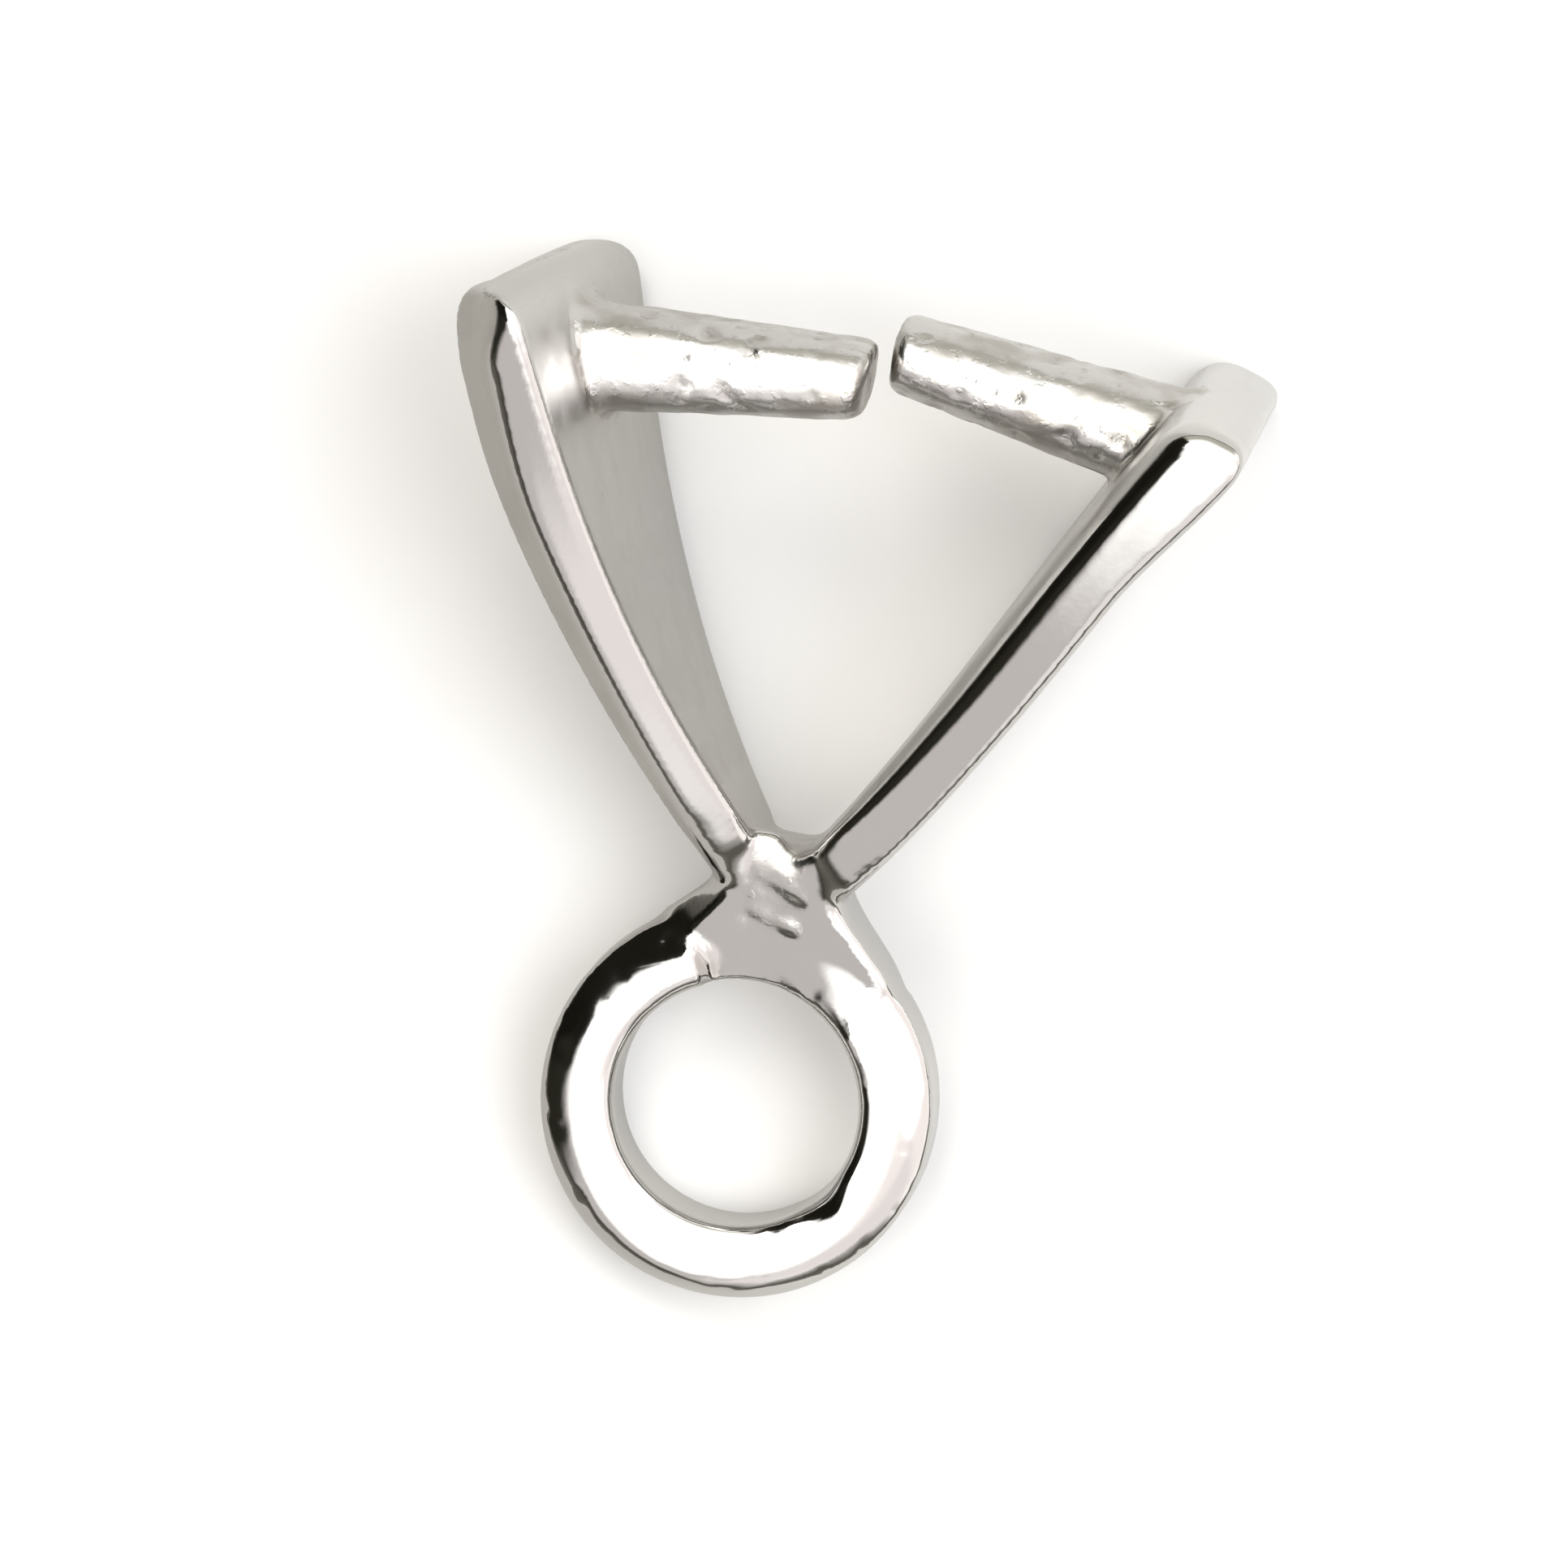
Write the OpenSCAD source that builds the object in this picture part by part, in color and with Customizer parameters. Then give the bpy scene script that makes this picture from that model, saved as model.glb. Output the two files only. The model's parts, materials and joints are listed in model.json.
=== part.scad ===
/* [Ring] */
// Radius of the round hole through the ring, in mm
ring_bore_r = 1.25; // [1.05:0.05:1.5]
// Radial thickness of the ring's wire
ring_wall = 0.75; // [0.65:0.05:0.95]
// Width of the ring along its hole
ring_w = 1.0; // [0.85:0.05:1.2]
// Length of the straight wall inside the hole
bore_land = 0.4; // [0.3:0.05:0.5]

/* [Neck] */
// Metal between the ring's outer edge and the bottom of the V
neck_len = 0.5; // [0.4:0.05:0.7]
// Width of the neck at its narrowest, from side to side
neck_w = 1.36; // [1.1:0.05:1.5]
// Thickness of the flat web between the ring and the V
web_t = 0.94; // [0.75:0.05:1.1]
// Width of the strap where it turns round the bottom of the V
bend_w = 1.2; // [1.1:0.05:1.4]

/* [Legs] */
// Inside radius of the bottom of the V
crotch_r = 0.53; // [0.4:0.05:0.7]
// Angle of each leg to the long axis where it leaves the neck
leg_angle_root = 38; // [34:0.5:42]
// Angle of each leg to the long axis at its wide end
leg_angle_tip = 15; // [11:0.5:20]
// Length of each leg along its inner face
leg_len = 6.1; // [5.5:0.1:7]
// Thickness of each leg at its rims
leg_t = 0.6; // [0.5:0.05:0.75]
// Width of each leg where it leaves the neck
leg_w_root = 1.6; // [1.4:0.05:1.9]
// Width of each leg at its wide end
leg_w_tip = 5.3; // [4.6:0.1:6]
// How far each long side bulges past a straight line
side_bulge = 0.2; // [0.1:0.05:0.3]
// Thickness of the rolled lip at the wide end
lip_t = 0.86; // [0.74:0.02:0.98]
// Radius of the wide end's corners, seen from outside
corner_r = 0.5; // [0.35:0.05:0.7]
// Height of the wide end's outward bow
end_bow = 0.22; // [0.1:0.02:0.35]
// Rounding of the inner face's edges
inner_edge_r = 0.14; // [0.08:0.01:0.18]
// Rounding of the rims' outer edges
rim_edge_r = 0.2; // [0.14:0.01:0.21]

/* [Pan] */
// Width of the raised rim along each long side
rim_w = 0.27; // [0.22:0.01:0.32]
// Width of the slope from the rim down to the floor
slope_w = 0.2; // [0.14:0.01:0.22]
// Metal left under the pan's floor
floor_t = 0.3; // [0.24:0.01:0.4]

/* [Pegs] */
// Width of each peg across the leg, at its root
peg_w = 1.5; // [1.2:0.05:1.8]
// Thickness of each peg along the long axis, at its root
peg_t = 1.05; // [0.85:0.05:1.2]
// Share of its root thickness that a peg keeps at its tip
peg_taper = 0.75; // [0.65:0.01:0.9]
// Distance from the wide end's edge to the pegs' middle, at the tips
peg_setback = 0.48; // [0.42:0.02:0.6]
// Angle by which each peg leans towards the open end
peg_slant = 6.5; // [3:0.5:9]
// Gap between the two tips
peg_gap = 0.16; // [0.1:0.02:0.3]
// Width of the fillet round each peg's root
peg_fillet = 0.2; // [0.1:0.02:0.26]

/* [Cast asymmetry] */
// How far each wide end is shifted along the hole's axis, one up and one down
leg_skew = 0.34; // [0.1:0.02:0.5]
// Twist of the first leg about its own length, at its wide end
twist_first = 8; // [4:0.5:10]
// Twist of the second leg about its own length, at its wide end
twist_second = 1.5; // [0:0.5:4]
// How far the tips of the two pegs miss each other along the long axis
peg_miss = 0.26; // [0.1:0.02:0.4]

/* [Hidden] */

ring_r = ring_bore_r + ring_wall;
crotch_l = ring_r + neck_len;
pivot = [0, crotch_l + crotch_r, 0];
bend_half = 90 - leg_angle_root;

// Rows of the leg table: side, shift of the wide end, twist there, peg's own offset along the long axis
SIDE = 0;
SHIFT = 1;
TWIST = 2;
OFFSET = 3;
LEGS = [
    [-1, leg_skew, twist_first, -peg_miss / 2],
    [1, -leg_skew, twist_second, peg_miss / 2]
];

// Shares of a leg's length at which its pan and its lip begin and end
pan_start = 0.03;
pan_full = 0.2;
pan_rise = 0.55;
pan_end = 0.9;
lip_start = 0.66;
lip_full = 0.93;

// Where a slope bends, as shares of its width and of its depth
slope_bend = [0.3, 0.2];
// Rows of a peg's fillet: height above the leg and flare left there, as shares of its width
FOOT = [for (h = [0, 0.12, 0.35, 0.65, 1]) [h, 1 - sqrt(1 - pow(1 - h, 2))]];
// Share of the fillet's flare that is left towards the open end, where the leg rounds off
upper_flare = 0.3;
// Rows of a peg's rounded tip: distance to the tip, as a share of its thickness, and size left there
TIP = [[0.16, 1], [0.07, 0.95], [0.02, 0.87], [0, 0.76]];
// How square the pegs' and the web's sections are: 2 is an ellipse
peg_power = 2.6;
web_power = 3.2;
// Share of the web's thickness over which its sides round off
web_edge = 0.55;
// Share of the leg's thickness that a peg or the web reaches into it
sunk = 0.5;
// Where the ring's profile is widest, as a share of its wall, and how full its outer quarter is
crest_share = 0.47;
ring_fullness = 0.9;

ring_sides = 96;
edge_steps = 3;
bend_steps = 12;
leg_steps = 22;
nose_steps = 5;
nose_last = 76;
oval_sides = 24;
web_steps = 6;
profile_steps = 9;
settle_steps = 6;
first_guess = [0.1, 0.2, 1];

// Smooth step from 0 to 1
function ramp(x) = let (c = min(max(x, 0), 1)) c * c * (3 - 2 * c);
function mix(a, b, x) = a + (b - a) * x;
function unit(v) = v / norm(v);

// One strap section as points across the width and out from the inner face
edge_angles = [for (i = [0:edge_steps]) 90 * i / edge_steps];
function half_section(h, t, pan) = concat(
    [for (a = edge_angles) [h - inner_edge_r * (1 - sin(a)), inner_edge_r * (1 - cos(a))]],
    [for (a = edge_angles) [h - rim_edge_r * (1 - cos(a)), t - rim_edge_r * (1 - sin(a))]],
    [
        [h - rim_w, t],
        [h - rim_w - slope_w * slope_bend[0], t - pan * slope_bend[1]],
        [h - rim_w - slope_w * (1 - slope_bend[0]), t - pan * (1 - slope_bend[1])],
        [h - rim_w - slope_w, t - pan]
    ]
);
function section(h, t, pan) = let (
    half = half_section(h, t, pan),
    last = len(half) - 1
) concat(
    [[0, 0]],
    half,
    [[0, t - pan]],
    [for (i = [last:-1:0]) [-half[i][0], half[i][1]]]
);

// A leg's angle, inner line and local directions at the share s of its length
arc_r = leg_len / ((leg_angle_tip - leg_angle_root) * PI / 180);
function leg_angle(s) = mix(leg_angle_root, leg_angle_tip, s);
function leg_point(leg, s) = [
    leg[SIDE] * (crotch_r * cos(leg_angle_root) + arc_r * (cos(leg_angle_root) - cos(leg_angle(s)))),
    pivot[1] - crotch_r * sin(leg_angle_root) + arc_r * (sin(leg_angle(s)) - sin(leg_angle_root)),
    leg[SHIFT] * s
];
function leg_along(leg, s) = [leg[SIDE] * sin(leg_angle(s)), cos(leg_angle(s)), 0];
function leg_flat_out(leg, s) = [leg[SIDE] * cos(leg_angle(s)), -sin(leg_angle(s)), 0];
function leg_across(leg, s) =
    [0, 0, 1] * cos(leg[TWIST] * s) + leg_flat_out(leg, s) * sin(leg[TWIST] * s);
function leg_out(leg, s) =
    leg_flat_out(leg, s) * cos(leg[TWIST] * s) - [0, 0, 1] * sin(leg[TWIST] * s);

// A leg's width, thickness and depth of pan at the share s
function leg_half_w(s) = mix(leg_w_root, leg_w_tip, s) / 2 + 4 * side_bulge * s * (1 - s);
function leg_thick(s) = mix(leg_t, lip_t, ramp((s - lip_start) / (lip_full - lip_start)));
function pan_depth(s) = (leg_t - floor_t)
    * ramp((s - pan_start) / (pan_full - pan_start))
    * (1 - ramp((s - pan_rise) / (pan_end - pan_rise)));

// The leg's section at s, shrunk by the angle b where the nose rounds off
function leg_section(leg, s, b) = let (
    half = leg_half_w(s),
    thick = leg_thick(s),
    narrow = corner_r * (1 - cos(b)),
    middle = thick / 2
) [for (p = section(half, thick, pan_depth(s)))
    let (
        v = p[0] * (half - narrow) / half,
        n = middle + (p[1] - middle) * cos(b)
    )
    leg_point(leg, s)
        + leg_across(leg, s) * v
        + leg_out(leg, s) * n
        - leg_along(leg, s) * end_bow * s * s * pow(v / half, 2)
];
nose_start = 1 - lip_t / 2 / leg_len;
function leg_sections(leg) = concat(
    [for (i = [1:leg_steps]) leg_section(leg, nose_start * i / leg_steps, 0)],
    [for (i = [1:nose_steps]) let (b = nose_last * i / nose_steps)
        leg_section(leg, nose_start + (1 - nose_start) * sin(b), b)]
);
function bend_section(a) = let (
    out = [sin(a), -cos(a), 0],
    half = mix(bend_w, leg_w_root, pow(a / bend_half, 2)) / 2
) [for (p = section(half, leg_t, 0)) pivot + out * (crotch_r + p[1]) + [0, 0, p[0]]];

function reversed(list) = [for (i = [len(list) - 1:-1:0]) list[i]];
first_leg = leg_sections(LEGS[0]);
second_leg = leg_sections(LEGS[1]);
strap = concat(
    reversed(first_leg),
    [for (i = [0:bend_steps]) bend_section(bend_half * (2 * i / bend_steps - 1))],
    second_leg
);

// A point on an oval of half sizes a and b, squarer as the power grows
function oval(a, b, turn, power) = let (
    reach = pow(pow(abs(cos(turn)), power) + pow(abs(sin(turn)), power), -1 / power)
) [a * reach * cos(turn), b * reach * sin(turn)];

// Where the pegs stand: the tips' place along the long axis, and each root's share of its leg
tip_x = peg_gap / 2;
tip_l = leg_point(LEGS[1], 1)[1] - peg_setback;
function leg_share_at(l) = let (
    sine = sin(leg_angle_root) + (l - pivot[1] + crotch_r * sin(leg_angle_root)) / arc_r
) (asin(sine) - leg_angle_root) / (leg_angle_tip - leg_angle_root);
reach_guess = leg_point(LEGS[1], leg_share_at(tip_l))[0];
root_drop = (reach_guess - tip_x) * tan(peg_slant);
function root_share(leg) = leg_share_at(tip_l + leg[OFFSET] - root_drop);
function root_x(leg) = abs(leg_point(leg, root_share(leg))[0]);

// A peg's section at x from the middle, flared outwards and leaning with its leg's face by the share lean;
// its width tapers half as much as its thickness
function peg_section(leg, x, shrink, flare, lean) = let (
    share = root_share(leg),
    far = (x - tip_x) / (root_x(leg) - tip_x),
    l = tip_l + leg[OFFSET] - (x - tip_x) * tan(peg_slant),
    half_l = peg_t / 2 * mix(peg_taper, 1, far) * shrink,
    half_w = peg_w / 2 * mix((1 + peg_taper) / 2, 1, far) * shrink,
    face_l = tan(leg_angle(share)),
    face_w = tan(leg[TWIST] * share) / cos(leg_angle(share))
) [for (i = [0:oval_sides - 1]) let (
    turn = 360 * i / oval_sides,
    along = half_l + flare * (cos(turn) > 0 ? upper_flare : 1),
    p = oval(along, half_w + flare, turn, peg_power)
) [
    leg[SIDE] * (x + lean * (p[0] * face_l + p[1] * face_w)),
    l + p[0],
    leg[SHIFT] * share + p[1]
]];
function peg_sections(leg) = concat(
    [peg_section(leg, root_x(leg) + leg_t * sunk, 1, peg_fillet, 1)],
    [for (row = FOOT) peg_section(leg, root_x(leg) - peg_fillet * row[0], 1, peg_fillet * row[1], 1)],
    [for (row = TIP) peg_section(leg, tip_x + peg_t * row[0], row[1], 0, 0)]
);

// The web between the ring and the V, as sections across it
web_low = ring_r * cos(45);
web_high = crotch_l - leg_t * sunk;
function web_section(f) = let (
    half = mix(ring_r * sin(45), neck_w / 2, f),
    l = mix(web_low, web_high, f),
    edge = web_t * web_edge
) [for (i = [0:oval_sides - 1])
    let (turn = 360 * (i + 0.5) / oval_sides, p = oval(edge, web_t / 2, turn, web_power))
    [(half - edge) * sign(cos(turn)) + p[0], l, p[1]]
];

// The ring's profile: a straight land in the hole, then rounded over to the outer edge
crest_r = ring_bore_r + ring_wall * crest_share;
inner_quarter = [for (i = [0:profile_steps]) let (a = 90 * i / profile_steps) [
    crest_r - (crest_r - ring_bore_r) * cos(a),
    bore_land / 2 + (ring_w - bore_land) / 2 * sin(a)
]];
outer_quarter = [for (i = [1:profile_steps]) let (a = 90 * i / profile_steps) [
    crest_r + (ring_r - crest_r) * pow(sin(a), ring_fullness),
    ring_w / 2 * pow(cos(a), ring_fullness)
]];
upper_profile = concat(inner_quarter, outer_quarter);
ring_profile = concat(
    upper_profile,
    [for (i = [len(upper_profile) - 2:-1:0]) [upper_profile[i][0], -upper_profile[i][1]]]
);

// How the bail lies by itself: a plane through the lowest points of both legs and the ring
function lowest(points, up) = let (
    heights = [for (p = points) p * up],
    low = min(heights)
) [for (i = [0:len(points) - 1]) if (heights[i] == low) points[i]][0];
function ring_lowest(up) = let (
    side = norm([up[0], up[1]]),
    low = lowest([for (p = ring_profile) [-p[0], p[1], 0]], [side, up[2], 0])
) [low[0] * up[0] / side, low[0] * up[1] / side, low[1]];
first_points = [for (section = first_leg, p = section) p];
second_points = [for (section = second_leg, p = section) p];
function settle(up, steps) = steps == 0 ? up : let (
    a = lowest(first_points, up),
    b = lowest(second_points, up),
    c = ring_lowest(up),
    normal = unit(cross(b - c, a - c))
) settle(normal * sign(normal[2]), steps - 1);
up = settle(unit(first_guess), settle_steps);
long_axis = unit([0, 1, 0] - up * up[1]);
side_axis = cross(long_axis, up);
lying = [side_axis, long_axis, up];

function turned(points) = [for (p = points) lying * p];
function ring_reach(axis) = let (flat = norm([axis[0], axis[1]]))
    max([for (p = ring_profile) p[0] * flat + p[1] * axis[2]]);
strap_points = turned(concat(first_points, second_points));
function reach(axis, way) = max(
    ring_reach(lying[axis] * way),
    max([for (p = strap_points) p[axis] * way])
);
place = [
    (reach(0, -1) - reach(0, 1)) / 2,
    (reach(1, -1) - reach(1, 1)) / 2,
    reach(2, -1)
];

function middle_of(section) = [for (axis = [0:2])
    let (values = [for (p = section) p[axis]]) (min(values) + max(values)) / 2
];

module loft(sections) {
    count = len(sections[0]);
    rows = len(sections);
    body = [for (section = sections, p = section) p];
    points = concat(body, [middle_of(sections[0]), middle_of(sections[rows - 1])]);
    sides = [for (r = [0:rows - 2], c = [0:count - 1]) let (
        a = r * count + c,
        b = r * count + (c + 1) % count
    ) each [[a, b + count, b], [a, a + count, b + count]]];
    start = [for (c = [0:count - 1]) [c, (c + 1) % count, rows * count]];
    end = [for (c = [0:count - 1])
        [(rows - 1) * count + (c + 1) % count, (rows - 1) * count + c, rows * count + 1]];
    polyhedron(points, concat(sides, start, end));
}

module ring() {
    rotate_extrude($fn = ring_sides) polygon(ring_profile);
}

module web() {
    loft([for (i = [web_steps:-1:0]) web_section(i / web_steps)]);
}

module peg(leg) {
    loft(leg[SIDE] > 0 ? reversed(peg_sections(leg)) : peg_sections(leg));
}

module bail() {
    color("silver")
    translate(place)
    multmatrix([for (row = lying) [row[0], row[1], row[2], 0]])
    union() {
        ring();
        web();
        loft(strap);
        peg(LEGS[0]);
        peg(LEGS[1]);
    }
}

bail();
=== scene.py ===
import json
import math

import bpy
import numpy as np
from mathutils import Matrix, Vector, noise
from mathutils.bvhtree import BVHTree


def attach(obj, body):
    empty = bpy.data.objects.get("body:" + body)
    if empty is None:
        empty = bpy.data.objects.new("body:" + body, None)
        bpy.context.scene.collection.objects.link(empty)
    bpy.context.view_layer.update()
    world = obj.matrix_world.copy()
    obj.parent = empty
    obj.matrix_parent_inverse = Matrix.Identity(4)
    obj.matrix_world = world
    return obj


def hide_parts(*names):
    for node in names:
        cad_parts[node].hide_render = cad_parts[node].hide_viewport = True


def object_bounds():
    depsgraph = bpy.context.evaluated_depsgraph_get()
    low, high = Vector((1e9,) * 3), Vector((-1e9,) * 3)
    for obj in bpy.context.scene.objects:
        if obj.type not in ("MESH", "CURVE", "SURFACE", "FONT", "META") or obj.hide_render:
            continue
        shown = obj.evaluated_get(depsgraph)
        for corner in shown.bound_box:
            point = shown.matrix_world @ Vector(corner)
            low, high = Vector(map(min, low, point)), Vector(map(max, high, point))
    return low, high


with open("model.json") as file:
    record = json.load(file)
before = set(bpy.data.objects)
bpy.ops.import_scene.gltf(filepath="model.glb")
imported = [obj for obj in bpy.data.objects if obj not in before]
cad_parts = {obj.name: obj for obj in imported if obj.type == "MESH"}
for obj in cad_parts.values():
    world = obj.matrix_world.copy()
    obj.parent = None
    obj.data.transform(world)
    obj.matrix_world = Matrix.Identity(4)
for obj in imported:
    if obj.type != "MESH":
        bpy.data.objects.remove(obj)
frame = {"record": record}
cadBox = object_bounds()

# The bail is shaped in millimetres in its own axes: x from leg to leg, y from the ring to the
# open end, z along the ring's hole. It is turned into its lying pose, in metres, at the end.
metresPerMm = 0.001


def smoothStep(value):
    t = np.clip(value, 0.0, 1.0)
    return t * t * (3.0 - 2.0 * t)


def mix(low, high, share):
    return low + (high - low) * share


def curve(handles, share):
    # a smooth value along a length, drawn towards evenly spaced handles
    values = np.array(handles, dtype=float)
    while len(values) > 1:
        values = mix(values[:-1], values[1:], share)
    return float(values[0])


def arc(steps):
    return np.radians(np.linspace(0.0, 90.0, steps + 1))


def skin(sections, closed=False):
    # one skin through the sections, with a fan over each end where it isn't closed
    rows, count = len(sections), len(sections[0])
    points = np.concatenate(sections)
    faces = []
    for row in range(rows if closed else rows - 1):
        low, high = row * count, (row + 1) % rows * count
        for column in range(count):
            beside = (column + 1) % count
            faces.append((low + column, low + beside, high + beside, high + column))
    if not closed:
        points = np.vstack([points, sections[0].mean(axis=0), sections[-1].mean(axis=0)])
        start, end, lastRow = rows * count, rows * count + 1, (rows - 1) * count
        for column in range(count):
            beside = (column + 1) % count
            faces.append((beside, column, start))
            faces.append((lastRow + column, lastRow + beside, end))
    return points, faces


def walk(pieces, steps):
    # a profile drawn from its top: arcs as (radius, first turn, last turn), straights as (length, turn)
    out, down = 0.0, 0.0
    points = [(out, down)]
    for piece in pieces:
        if len(piece) == 2:
            length, turn = piece[0], math.radians(piece[1])
            out, down = out + length * math.cos(turn), down + length * math.sin(turn)
            points.append((out, down))
            continue
        radius, first, last = piece[0], math.radians(piece[1]), math.radians(piece[2])
        for step in range(steps):
            turn = first + (last - first) * (step + 0.5) / steps
            stride = radius * (last - first) / steps
            out, down = out + stride * math.cos(turn), down + stride * math.sin(turn)
            points.append((out, down))
    return np.array(points)


# the ring: a flat crest, rounded long to the outside and short into the hole
ringSizes = {
    "boreRadius": 1.25,
    "wall": 0.75,
    "width": 1.0,
    "crestStart": 1.42,
    "crestEnd": 1.55,
    "outer": ((0.672, 0, 40), (0.0, 40), (0.05, 40, 90)),
    "filed": ((0.12, 0, 37), (0.448, 37), (0.05, 37, 90)),    # beside the neck it was filed flat
    "filedTurn": 118.0,
    "filedSpread": 38.0,
    "innerDrop": 0.17,
    "wideTurn": -98.0,      # where the flat crest reaches further out
    "wideSpread": 80.0,
    "wideCrest": 0.21,
    "leastCrest": 0.02,
    "scoopTurn": -38.0,     # where the hole's edge was filed wider
    "scoopSpread": 19.0,
    "scoopWidth": 0.16,
    "sides": 240,
    "roundSteps": 14,
}
# the web's face slopes up from the hole to the V, and cuts the ring's crest off there
webSlope = {
    "height": 0.47,
    "at": 1.97,
    "rise": 18.0,
    "lean": 0.12,           # it also rises a little to the right
    "leftRamp": (22.0, 27.0),     # the crest sinks into it between these turns from the web's middle
    "rightRamp": (8.0, 48.0),
}
ringRadius = ringSizes["boreRadius"] + ringSizes["wall"]


def webTop(x, y):
    rise = math.tan(math.radians(webSlope["rise"]))
    return webSlope["height"] - (webSlope["at"] - y) * rise + webSlope["lean"] * np.maximum(x, 0)


def ringSkin(sizes):
    half = sizes["width"] / 2
    turn = np.radians(np.linspace(0, 90, sizes["roundSteps"] + 1))
    plain, filed = (walk(sizes[name], sizes["roundSteps"] // 2) for name in ("outer", "filed"))

    def nearTurn(angle, middle, spread):
        away = abs((math.degrees(angle) - middle + 180) % 360 - 180)
        return 1 - float(smoothStep(away / spread))

    sections = []
    for angle in np.linspace(0, 2 * math.pi, sizes["sides"], endpoint=False):
        scoop = sizes["scoopWidth"] * nearTurn(angle, sizes["scoopTurn"], sizes["scoopSpread"])
        start = sizes["crestStart"] + scoop
        wide = sizes["wideCrest"] * nearTurn(angle, sizes["wideTurn"], sizes["wideSpread"])
        end = max(sizes["crestEnd"] + wide, start + sizes["leastCrest"])
        filedShare = nearTurn(angle, sizes["filedTurn"], sizes["filedSpread"])
        outer = mix(plain / plain[-1, 0], filed / filed[-1, 0], filedShare)
        outer = np.column_stack([outer[:, 0], outer[:, 1] * plain[-1, 0]])
        r = np.concatenate([
            start - (start - sizes["boreRadius"]) * np.sin(turn[::-1]),
            end + (ringRadius - end) * outer[:, 0],
        ])
        z = half - np.concatenate([
            (sizes["innerDrop"] + scoop) * (1 - np.cos(turn[::-1])),
            outer[:, 1],
        ])
        x, y = r * math.cos(angle), r * math.sin(angle)
        fromWeb = (math.degrees(angle) + 90) % 360 - 180
        full, none = webSlope["leftRamp"] if fromWeb > 0 else webSlope["rightRamp"]
        cut = float(np.clip((none - abs(fromWeb)) / (none - full), 0, 1))
        z = mix(z, np.minimum(z, webTop(x, y)), cut)
        upper = np.column_stack([x, y, z])
        sections.append(np.vstack([upper, upper[::-1] * [1, 1, -1]]))
    return skin(sections, closed=True)


# the strap: both legs and the bend that joins them
legSizes = {
    "neckLength": 0.5,
    "bendWidth": 1.06,
    "crotchRadius": 0.53,
    "rootAngle": 38.0,
    "tipAngle": 15.0,
    "length": 6.1,
    "thickness": 0.6,
    "rootWidth": 1.6,
    "tipWidth": 5.3,
    "sideBulge": 0.2,
    "lipThickness": 0.86,
    "lipStart": 0.66,
    "lipFull": 0.93,
    "nearCorner": 0.34,
    "farCorner": 0.62,
    "nearBow": 0.0,
    "farBow": 0.08,
    "innerEdge": 0.14,
    "rimEdge": 0.2,
    "legSteps": 110,
    "bendSteps": 48,
    "noseSteps": 18,
    "noseLast": 87.0,
    "noseSquareness": 0.74,
    "edgeSteps": 9,
    "acrossSteps": 9,
}
panSizes = {
    "rimWidth": 0.27,
    "slopeWidth": 0.2,
    "floorThickness": 0.3,
    "start": 0.03,
    "full": 0.2,
    "rise": 0.55,
    "end": 0.9,
    "slopeSteps": 8,
}
# each leg as the casting left it: the near side is thicker and was filed differently on the two.
# The values in brackets are handles from the leg's root to its tip, in mm.
legs = (
    {"side": -1, "shift": 0.34, "twist": 5.5, "pegMiss": -0.13, "pegSquareness": 2.6,
     "inward": (0.15, 0.10, 0.04, 0.08, -0.10), "body": (0.61, 0.66, 0.77, 1.04, 0.90), "lip": 0.90,
     "nearInner": (0.10, 0.10, 0.10, 0.10, 0.10), "slope": (0.10, 0.25, 0.50, 0.50, 0.50),
     "tipSlope": 0.5, "tipRound": 1.0,
     "nearRim": {"turn": 56.0, "upper": 0.22, "lower": 0.10}},
    {"side": 1, "shift": -0.34, "twist": 1.5, "pegMiss": 0.13, "pegSquareness": 2.25,
     "inward": (0.15, 0.30, 0.50, 0.42, 0.0), "body": (0.61, 0.68, 0.78, 0.76, 0.70), "lip": 0.88,
     "nearInner": (0.10, 0.30, 0.44, 0.38, 0.36), "slope": (0.0, 0.0, 0.0, 0.0, 0.0),
     "tipSlope": 0.0, "tipRound": 0.0,
     "nearRim": {"turn": 45.0, "upper": 0.10, "lower": 0.10}},
)
crotchY = ringRadius + legSizes["neckLength"]
pivotY = crotchY + legSizes["crotchRadius"]
rootRad, tipRad = math.radians(legSizes["rootAngle"]), math.radians(legSizes["tipAngle"])
legArc = legSizes["length"] / (tipRad - rootRad)


def rimCurve(rim, slope):
    # steps from the strap's side up to its outer face: a round, a slope and a round
    turn, steps = math.radians(rim["turn"]), legSizes["edgeSteps"]
    v, n, angle = 0.0, 0.0, 0.0
    curvePoints = [(v, n)]
    for radius, end in ((rim["upper"], turn), (rim["lower"], math.pi / 2)):
        for step in range(steps):
            angleStep = (end - angle) / (steps - step)
            middle = angle + angleStep / 2
            v, n = v - radius * angleStep * math.sin(middle), n + radius * angleStep * math.cos(middle)
            angle += angleStep
            curvePoints.append((v, n))
        if end == turn:
            v, n = v - slope * math.sin(turn), n + slope * math.cos(turn)
            curvePoints.append((v, n))
    return np.array(curvePoints) - [0, curvePoints[-1][1]]


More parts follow.
